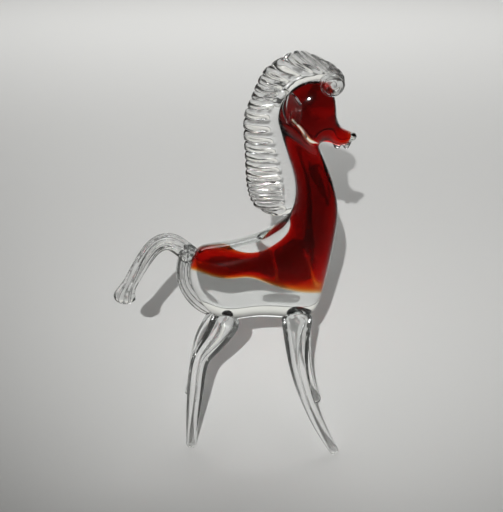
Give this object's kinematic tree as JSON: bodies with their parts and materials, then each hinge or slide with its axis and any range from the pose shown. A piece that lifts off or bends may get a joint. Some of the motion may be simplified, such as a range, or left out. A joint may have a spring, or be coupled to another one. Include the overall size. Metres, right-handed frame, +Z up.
{
  "type": "glass horse figurine",
  "caption": "Standing hot-worked glass horse, ruby core cased in clear, with a ribbed clear mane, arched clear tail and splayed tapering legs.",
  "frame": {"origin": "under the middle of the horse's box, on the surface it stands on", "axes": "+X towards the muzzle, +Y towards the horse's left side, +Z up"},
  "size_m": [0.1834, 0.1056, 0.3004],
  "materials": {
    "clear_casing_glass": "clear, fire-polished, colourless with the faintest green in depth",
    "ruby_core_glass": "transparent ruby, near black where deep and amber at its thin lower edge",
    "mane_glass": "clear, tooled into close ribs",
    "forelock_glass": "clear, fire-polished roll",
    "ear_glass": "clear, pressed leaf",
    "leg_glass": "clear, drawn, with lengthwise flutes",
    "tail_glass": "clear, drawn and tooled, with fine marks and small bubbles at the root"
  },
  "bodies": {
    "root": {"clear_casing": "clear_casing_glass", "ruby_core": "ruby_core_glass", "mane": "mane_glass", "forelock": "forelock_glass", "ear_right": "ear_glass", "ear_left": "ear_glass", "leg_hind_right": "leg_glass", "leg_hind_left": "leg_glass", "leg_fore_right": "leg_glass", "leg_fore_left": "leg_glass", "tail": "tail_glass"}
  },
  "joints": []
}
